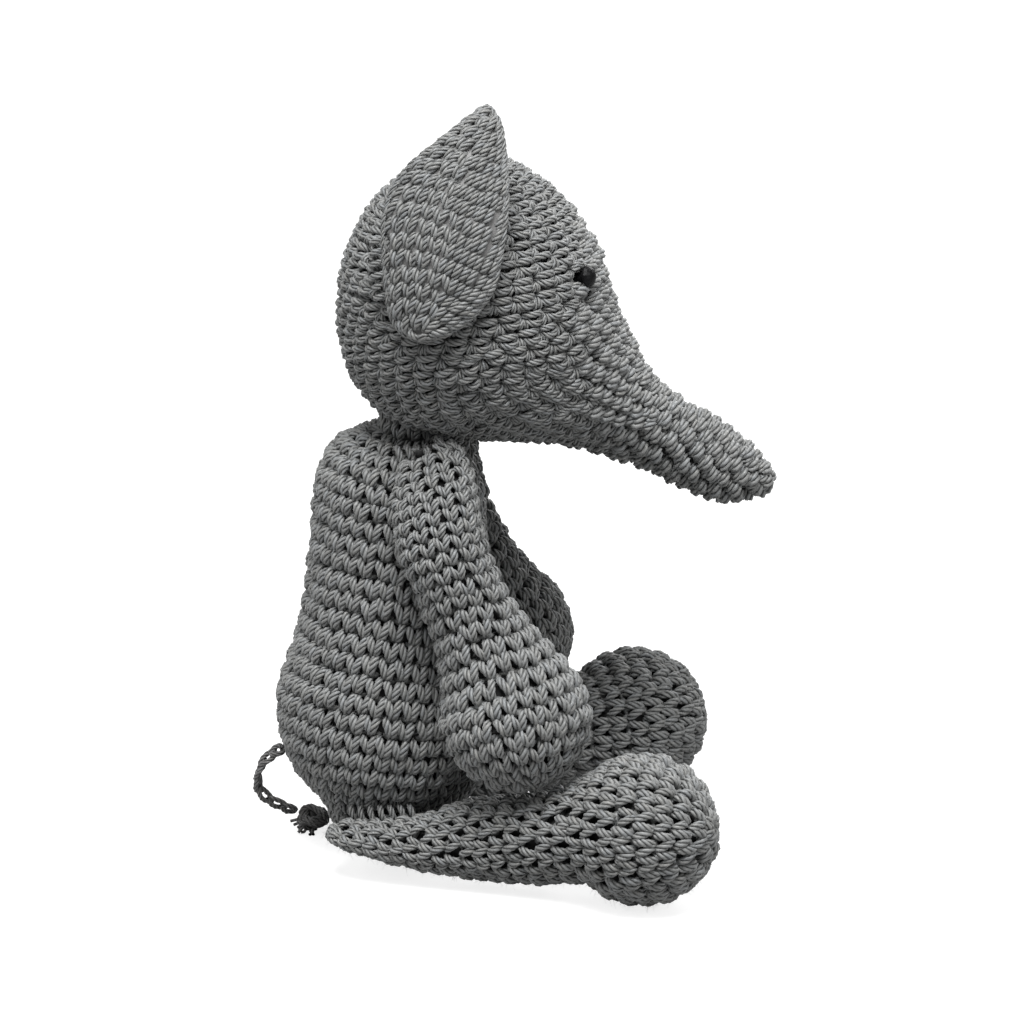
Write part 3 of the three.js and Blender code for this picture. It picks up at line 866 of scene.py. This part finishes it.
# %% Tail knot
knot_low, knot_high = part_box("tail_knot")
knot_middle = (np.array(knot_low) + np.array(knot_high)) / 2 / MM
turns = np.linspace(0, 2 * math.pi, 26)
wraps = []
for i in range(8):
    tilt, yaw_ = dice.uniform(0, math.pi, 2)
    r = 3.4 + 0.5 * np.sin(3 * turns + i) + 0.25 * (i % 3)
    ring = np.stack([r * np.cos(turns), 0.85 * r * np.sin(turns), 0.8 * np.sin(2 * turns + i)], -1)
    ct, st, cs, ss = math.cos(tilt), math.sin(tilt), math.cos(yaw_), math.sin(yaw_)
    tip = np.array([[1, 0, 0], [0, ct, -st], [0, st, ct]])
    yaw = np.array([[cs, -ss, 0], [ss, cs, 0], [0, 0, 1]])
    wraps.append(knot_middle + ring @ tip.T @ yaw.T)
wraps = np.array(wraps)
knot_batches = twist_plies(wraps, unit(wraps - knot_middle), np.full(wraps.shape[:2], 0.95))
heart_size = 2.6 * np.sin(np.linspace(0.15, math.pi - 0.15, 26))[None]
heart = knot_middle + np.linspace(-2.6, 2.6, 26)[:, None] * np.array([[0, 0.3, 0.95]])
knot_batches.append(spin(heart[None], np.tile([[1.0, 0, 0]], (1, 26, 1)), heart_size, 10, math.pi / 2))
tuft_lines = []
for i in range(16):
    way = unit(np.array([0.5 * math.cos(i * 0.7), 0.45 + 0.5 * math.cos(1.9 * i),
                         -0.5 + 0.4 * math.sin(i * 2.1)]))
    bend = np.array([0.5 * math.sin(i), 0.6 * math.cos(1.3 * i), -0.35])
    s = np.linspace(0, 1, 26)[:, None]
    line = knot_middle + way * dice.uniform(4.5, 6.5) * s + bend * 2.2 * s ** 2
    line[:, 2] = np.maximum(line[:, 2], 0.5)
    tuft_lines.append(line)
tuft_lines = np.array(tuft_lines)
knot_batches.append(spin(tuft_lines, np.broadcast_to([0.2, 0.3, 0.9], tuft_lines.shape),
                         np.full(tuft_lines.shape[:2], 0.5), 6))
# The knot and its tuft are painted darker, as shade, like the tail.
knot = strand_object("tail_tuft", knot_batches, painted_shade_cotton)
settle(tail, "tail", "tail_cord")
settle(knot, "tail", "tail_knot")
print("knot:", len(wraps), "wraps and", len(tuft_lines), "loose plies")

# %% [markdown]
# ## Body
# The body is a pear worked in rounds from the seat up to the neck, right side out: about 40
# stitches round the belly. Its rows are level, and its weight flattens the seat on the floor.

# %% Body
MOST_FACES = 185000                   # in one part of a piece
SHADE_SHEET_DEPTH, FILLING_GAP = 3.3, 0.7  # mm under the skin for the sheet of painted shade, and from that sheet to the filling


def dress(name, skin_, rows, places, pattern, body, cover, stuffing, **how):
    """Crochets a piece in parts of a few hundred stitches, with a near-black sheet of painted shade under
    the stitches and its filling.
    """
    cost = sum(60 if "plain" in strand else 320 for strand in pattern) + 100
    parts = math.ceil(len(places) * cost / MOST_FACES)
    order = places[np.argsort(places[:, 0], kind="stable")]
    for number, some in enumerate(np.array_split(order, parts)):
        label = name if parts == 1 else f"{name}_{number + 1}"
        strands = crochet(skin_, rows, some, pattern, **how) + fuzz(skin_, rows, some)
        made = strand_object(label, strands, cotton)
        settle(made, body, cover)
    print(name, "has", len(places), "stitches in", parts, "parts")
    if stuffing:
        # A near-black sheet under the stitches: painted shade seen through the gaps between them.
        under = lining(name + "_shade_sheet", skin_, SHADE_SHEET_DEPTH)
        settle(under, body, material=shade_sheet_cotton)
        inside = lining(name + "_filling", skin_, SHADE_SHEET_DEPTH + FILLING_GAP, capped=False)
        settle(inside, body, stuffing, filling)


def body_axis(z):
    """The middle of the body at a height; it leans forward a little."""
    return (0, 40.6 - 0.025 * z, z)


UP = (0, 0, 1)
body_keys = ([(body_axis(12), UP, sweep_) for sweep_ in (180, 150, 120, 90)]
             + [(body_axis(z), UP, 90) for z in np.linspace(18, 110, 14)]
             + [(body_axis(112), UP, sweep_) for sweep_ in (90, 60, 30, 0)])
BACK_PUFF, SHOULDER_PUFF = 2.2, 4.2   # mm that the fabric bulges out low at the back and at the top
body_grid = skin("body_cover", body_keys, (0, -1, 0))
body_grid[..., 1] += (BACK_PUFF * np.exp(-((body_grid[..., 2] - 46) / 20) ** 2)
                      * np.clip((body_grid[..., 1] - 55) / 15, 0, 1))
body_grid[..., 2] += (SHOULDER_PUFF * np.clip((body_grid[..., 2] - 98) / 16, 0, 1)
                      * np.clip((body_grid[..., 1] - 26) / 14, 0, 1))
body_skin = Skin(body_grid)
body_rows, body_open = lay_rows(body_skin, [(0, ALONG - 1, (5.4, 5.8, 5.6, 5.3), None)])
body_places = stitch_places(body_skin, body_rows, body_open, (5.0, 5.0, 5.2, 5.3), drift=0.18)
dress("body_crochet", body_skin, body_rows, body_places, V_STITCH, "torso", "body_cover", "body_stuffing")
print("body:", len(body_rows) - 1, "rows")

# %% [markdown]
# ## Head and trunk
# The head is worked from the crown down, inside out, so its wrong side shows. The rounds
# turn from level at the crown to square across the trunk. Short rows fill the outside of that bend,
# under the chin.

# %% Head
HEAD_LINE = [
    # y, z, lean of the ring's front upwards in degrees
    (17, 180, 3), (17, 178, 4.9), (15, 161.5, 9.8), (8, 147, 15.1), (-2.4, 140, 20.2), (-14, 136.8, 23),
    (-24.7, 133.7, 28), (-34.2, 130, 39.3), (-43, 126, 51), (-51.1, 121.5, 57.8), (-58.3, 117, 59.5),
]


def head_key(y, z, lean, sweep_):
    """A key of the head's centre line: the ring's plane leans, and travel is square to it."""
    a = math.radians(lean)
    return ((0, y, z), (0, -math.sin(a), -math.cos(a)), sweep_)


head_keys = ([head_key(*HEAD_LINE[0], s) for s in (180, 160, 140, 120, 105)]
             + [head_key(*row, 90) for row in HEAD_LINE]
             + [head_key(-61, 115.5, 60, s) for s in (70, 45, 20, 0)])
head_skin = Skin(skin("head_cover", head_keys, (0, -1, 0.0), passes=4))
RINGS = len(head_keys) - 1
stop = lambda key: int(round(key / RINGS * (ALONG - 1)))


def eye_socket(side):
    """Where an eye sits, which way it looks and how wide the hole round it is."""
    sign = -1 if side == "right" else 1
    return np.mean(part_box(f"{side}_eye"), axis=0) / MM, unit(np.array([0.473 * sign, -0.853, 0.219])), 3.3


head_zones = [(0, stop(6), 5.1, None), (stop(6), stop(13), 5.1, "fan"),
              (stop(13), ALONG - 1, (4.3, 3.9), None)]
head_rows, head_open = lay_rows(head_skin, head_zones)
head_places = stitch_places(head_skin, head_rows, head_open, (7.2, 7.2, 7.0, 6.4, 6.2), drift=0.38)
sockets = [eye_socket(side) for side in ("right", "left")]
whole, _ = head_skin.place(head_places[:, 1:].mean(axis=1), head_rows[head_places[:, 0].astype(int), 0],
                           np.zeros(len(head_places)))
TRUNK_START = -12                     # mm: in front of this, the stitches show as petals
trunk_part = whole[:, 1] < TRUNK_START + dice.normal(0, 2.0, len(whole))
dress("head_crochet", head_skin, head_rows, head_places[~trunk_part], BAR_STITCH, "head", "head_cover",
      "head_stuffing", nominal=5.0, clear=sockets)
dress("trunk_crochet", head_skin, head_rows, head_places[trunk_part], PETAL_STITCH, "head", "head_cover",
      None, nominal=4.3, clear=sockets)
print("head:", len(head_rows) - 1, "rows")

# %% [markdown]
# ## Arms and legs
# Arms and legs are tubes that widen into balls, worked right side out and stuffed only at their
# ends, so they are flat where they are sewn on.

# %% Limbs
ARM_PUFF, THIGH_PUFF = 2.4, 3.4       # mm that the fabric bulges up


def limb_skin(cover, line, start, mirror, swing):
    """A limb's skin from its centre line: first and last points sweep round the ends."""
    points = np.array(line, float)
    reach_ = np.linalg.norm(points - points[0], axis=1)
    points[:, 0] -= swing[0] * reach_
    points[:, 1] += swing[1] * reach_
    if mirror:
        points[:, 0] *= -1
    travel = unit(np.gradient(points, axis=0))
    keys = [(points[0], travel[0], s) for s in (180, 150, 120)]
    keys += [(p, t, 90) for p, t in zip(points, travel)]
    keys += [(points[-1], travel[-1], s) for s in (75, 60, 45, 30, 15, 0)]
    grid = skin(cover, keys, start)
    if "arm" in cover:
        grid[..., 2] += ARM_PUFF * np.clip((grid[..., 2] - 112) / 14, 0, 1)
    else:
        above = np.clip((grid[..., 2] - 12) / 10, 0, 1)
        grid[..., 2] += THIGH_PUFF * above * np.exp(-((grid[..., 1] - 20) / 19) ** 2)
    return Skin(grid)


ARM_LINE = [(-22.6, 28.9, 128.2), (-25, 28.6, 125), (-29, 27.8, 120), (-33, 26.6, 113), (-35.6, 25.6, 107),
            (-36, 23.7, 100.7), (-36, 21.4, 94.5), (-36, 18.6, 88), (-36, 15.6, 81), (-36.7, 12.7, 75),
            (-37.6, 9.5, 68.5), (-39.2, 6.4, 61), (-40.6, 3.6, 53.8)]
LEG_LINE = [(-26.3, 57, 13.1), (-27.4, 53, 12.9), (-29, 47.5, 12.5), (-30.6, 42, 12.2), (-31.8, 36.5, 11.9),
            (-32.8, 31.5, 11.6), (-34.2, 24, 12.1), (-35.6, 17, 12.9), (-36.9, 11, 13.7), (-38, 6, 14.6),
            (-40.6, -1.6, 16.2), (-43.4, -9.5, 17.8), (-47.4, -22, 20.8), (-51, -33, 22.6)]
LIMBS = {                             # centre line, where u is 0, row heights, stitch widths
    "arm": (ARM_LINE, (0, -0.925, 0.38), (3.7, 4.0, 4.6, 5.6, 6.0, 5.6), (4.7, 5.0, 5.2, 5.3)),
    "leg": (LEG_LINE, (0, 0, 1), (4.3, 4.3, 4.6, 5.6, 6.4, 6.0), (5.0, 5.1, 5.4, 5.6)),
}
for side in ("right", "left"):
    for limb, (line, start, heights, widths) in LIMBS.items():
        swing = (0.055, 0.06) if (side, limb) == ("left", "arm") else (0, 0)
        name = f"{side}_{limb}"
        limb_ = limb_skin(f"{name}_cover", line, start, side == "left", swing)
        rows, opened = lay_rows(limb_, [(0, ALONG - 1, heights, None)])
        places = stitch_places(limb_, rows, opened, widths, drift=-0.15)
        dress(f"{name}_crochet", limb_, rows, places, V_STITCH, name, f"{name}_cover",
              f"{name}_stuffing", upside_down=True)

# %% [markdown]
# ## Ears
# Each ear is a leaf of crochet that lies round the side of the head, with a chain along its
# edge. The right ear stands up to a point. The left ear's tip is limp and hangs outwards.

# %% Ears
EAR_ROWS = [
    (166.6, 30, 30.1), (168, 25.5, 35), (172, 18.5, 38.2), (180, 11.4, 39.6), (190, 8.6, 40.4),
    (199, 7.2, 40.2),
    (207, 6.8, 37.6), (214, 7, 32.4), (220, 7.6, 24.8), (225, 8.8, 18), (228.6, 11.5, 11.6),
]
EAR_SHELL = (42.7, 40.5, 66)
HEAD_MIDDLE = (16.8, 169.8)
FLOP_HEIGHT, FLOP_RADIUS, FLOP_ANGLE, FLOP_X = 188, 7.4, 2.9, -36
WIDEST_HEIGHT, WIDEST_BACK, TIP_TAPER = 190, 40.4, 0.9


def ear_point(y, z, thick, side):
    """A point of an ear: y and z on the head's side, and its place through the flap's thickness."""
    inside = 1 - ((y - HEAD_MIDDLE[0]) / EAR_SHELL[1]) ** 2 - ((z - HEAD_MIDDLE[1]) / EAR_SHELL[2]) ** 2
    x = -(EAR_SHELL[0] * np.sqrt(np.maximum(inside, 0.02)) + thick)
    if side == "left":
        rise = np.maximum(z - FLOP_HEIGHT, 0)
        turn = np.minimum(rise / FLOP_RADIUS, FLOP_ANGLE)
        rest = rise - turn * FLOP_RADIUS
        inner = FLOP_RADIUS + x - FLOP_X
        bent = rise > 0
        x2 = FLOP_X - FLOP_RADIUS + inner * np.cos(turn) - rest * np.sin(turn)
        z2 = FLOP_HEIGHT + inner * np.sin(turn) + rest * np.cos(turn)
        x, z = np.where(bent, x2, x), np.where(bent, z2, z)
        x = -x
    return np.stack([x, y, z], -1)


def ear_edges(side, count):
    """Height, front edge and back edge of an ear; the limp one's tip narrows above its bend."""
    rows = spline(EAR_ROWS, count)
    if side == "left":
        narrowed = WIDEST_BACK - (rows[:, 0] - WIDEST_HEIGHT) * TIP_TAPER
        rows[:, 2] = np.maximum(rows[:, 1] + 0.1, np.minimum(rows[:, 2], narrowed))
    return rows


def ear_skin(side):
    """An ear's outside as a flattened tube from its lower end to its tip."""
    z = ear_edges(side, ALONG)
    angle = 2 * math.pi * np.arange(AROUND) / AROUND
    half_width = (z[:, 2] - z[:, 1]) / 2
    y = ((z[:, 1] + z[:, 2]) / 2)[:, None] + half_width[:, None] * np.cos(angle)
    thick = 2.0 * np.sin(angle)[None] * np.minimum(1, half_width[:, None] / 3)
    return Skin(ear_point(y, np.repeat(z[:, :1], AROUND, axis=1), thick, side))


for side in ("right", "left"):
    flap = ear_skin(side)
    rows, opened = lay_rows(flap, [(0, ALONG - 1, 4.7, None)])
    places = stitch_places(flap, rows, opened, 4.1, drift=0.1, least=2)
    edge = ear_edges(side, 60)
    edge = np.concatenate([edge[::-1, [2, 0]], edge[1:, [1, 0]]]).T
    border = ear_point(*edge, 0.0, side)
    face = unit(ear_point(*edge, 1.0, side) - border)
    front_part = np.cos(math.pi * (places[:, 1] + places[:, 2])) < -0.2
    batches = crochet(flap, rows, places[front_part], SLANT_STITCH, out=0.1, nominal=5.0, dive=0.55)
    batches += crochet(flap, rows, places[~front_part], V_STITCH, out=0.1, nominal=5.0, dive=0.45)
    batches += chain(border, face, 0.85, 0.75)
    batches += fuzz(flap, rows, places, start=0.6)
    # The ear's yarn is painted a tenth darker, as shade.
    ear = strand_object(f"{side}_ear_crochet", batches, ear_shaded_cotton)
    settle(ear, f"{side}_ear_flap", f"{side}_ear")
    # A darker grey sheet inside the ear: painted shade seen through the gaps between its stitches.
    settle(lining(f"{side}_ear_shade_sheet", flap, 1.4), f"{side}_ear_flap", material=painted_shade_cotton)
    print(side, "ear:", len(places), "stitches")

# %% [markdown]
# ## Neck and seams
# The head sits on a short neck of stitches, and whip stitches of the same yarn sew on the arms, legs
# and ears. Each whip stitch bites into one piece, goes over the edge and bites into the other.

# %% Neck
ring = 2 * math.pi * np.arange(AROUND) / AROUND
neck_level = np.linspace(0, 1, 24)
neck_radius = 11.8 + neck_level
neck_grid = np.stack([neck_radius[:, None] * np.sin(ring), 31 - neck_radius[:, None] * np.cos(ring),
                      (120 + 13 * neck_level)[:, None] + 0 * ring], -1)
neck_skin = Skin(neck_grid)
neck_rows, neck_open = lay_rows(neck_skin, [(0, 23, 4.4, None)])
neck_places = stitch_places(neck_skin, neck_rows, neck_open, 5.0)
neck_strands = crochet(neck_skin, neck_rows, neck_places, V_STITCH, nominal=5.0)
settle(strand_object("neck_crochet", neck_strands, cotton), "neck", "neck_seam")
# A near-black sheet under the neck's stitches: painted shade seen through the gaps between them.
settle(lining("neck_shade_sheet", Skin(neck_grid[8:]), 3.0), "neck", material=shade_sheet_cotton)
print("neck:", len(neck_places), "stitches")


# %% Whip stitches
WHIP_SHAPE = [                        # across, ahead and up
    (-1, -0.35, -1.9), (-0.85, -0.3, -0.5), (-0.5, -0.15, 0.6), (0, 0, 1.05), (0.5, 0.15, 0.6),
    (0.85, 0.3, -0.5), (1, 0.35, -1.9)]
WHIP_BITE, WHIP_SPACING, WHIP_YARN = 2.6, 3.1, 0.95


def whip(name, stands_for, body, route, out, flap=None):
    """A row of whip stitches along a route, arching towards out; with a flap, they are tied to no body."""
    path = spline(route, 40)
    count = max(3, round(path_length(path) / WHIP_SPACING) + 1)
    at = np.linspace(0.02, 0.98, count) * 39
    pick = lambda a: np.stack([np.interp(at, np.arange(40), a[:, c]) for c in range(3)], -1)
    here, ahead = pick(path), unit(pick(np.gradient(path, axis=0)))
    up = unit(np.array(out, float) - ahead * (ahead @ np.array(out, float))[:, None])
    side = np.cross(ahead, up)
    shape = spline(WHIP_SHAPE, 10)
    reach_ = dice.normal(WHIP_BITE, 0.2, (count, 1, 1))
    lines = (here[:, None] + side[:, None] * shape[None, :, :1] * reach_
             + ahead[:, None] * shape[None, :, 1:2] * 2.4 + up[:, None] * shape[None, :, 2:])
    ups = np.broadcast_to(up[:, None], lines.shape)
    made = strand_object(name, twist_plies(lines, ups, np.full(lines.shape[:2], WHIP_YARN)), cotton)
    if flap:
        middle, across = here.mean(axis=0), unit(side.mean(axis=0))
        across = across * (1 if across[0] * middle[0] > 0 else -1)
        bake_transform(made)
    else:
        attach(made, body)
    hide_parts(stands_for)
    return count


SEAMS = {
    "arm": ([(-18.2, 20, 126.9), (-17.8, 29, 127.3), (-18.2, 38, 126.9)], (-0.35, 0, 0.94), "torso"),
    "leg": ([(-26.4, 34, 19.9), (-26.6, 43, 19.5), (-22, 52, 18.4)], (-0.75, 0, 0.66), "torso"),
    "ear": ([(-31.2, 42.3, 176), (-31, 43.4, 184), (-28.6, 43.4, 192)], (-0.35, 0.94, 0), "head"),
}
for part, (route, out, body) in SEAMS.items():
    for side, sign in (("right", 1), ("left", -1)):
        turned = [(x * sign, y, z) for x, y, z in route]
        count = whip(f"{side}_{part}_stitches", f"{side}_{part}_seam", body, turned,
                     (out[0] * sign, *out[1:]), f"{side}_ear_flap" if part == "ear" else None)
        print(side, part, "seam:", count, "whip stitches")

# %% [markdown]
# ## Eyes, washers and filling
# The eyes are black safety eyes with a soft gloss. Their caps are in the frame already, so they only
# get their finish here. The washers behind them and the fibre filling are inside, where nobody sees
# them, but they are real pieces and get real finishes too.

# %% Give the frame's own pieces their finishes
finishes = {
    "_eye": hard_finish("glossy_black", (0.003, 0.003, 0.0035), 0.42, 0.03, specular=0.16),
    "_washer": hard_finish("washer_plastic", (0.72, 0.72, 0.70), 0.4, 0.15),
    "_stuffing": filling,
}
for name, thing in frame["nodes"].items():
    chosen = next((finish for ending, finish in finishes.items() if name.endswith(ending)), cotton)
    for place in thing.material_slots:
        place.material = chosen
print("finished", len(frame["nodes"]), "of the frame's pieces")

# %% Sizes
print("faces of strands:", sum(strand_faces.values()), "in all and", max(strand_faces.values()),
      "at most in a piece")
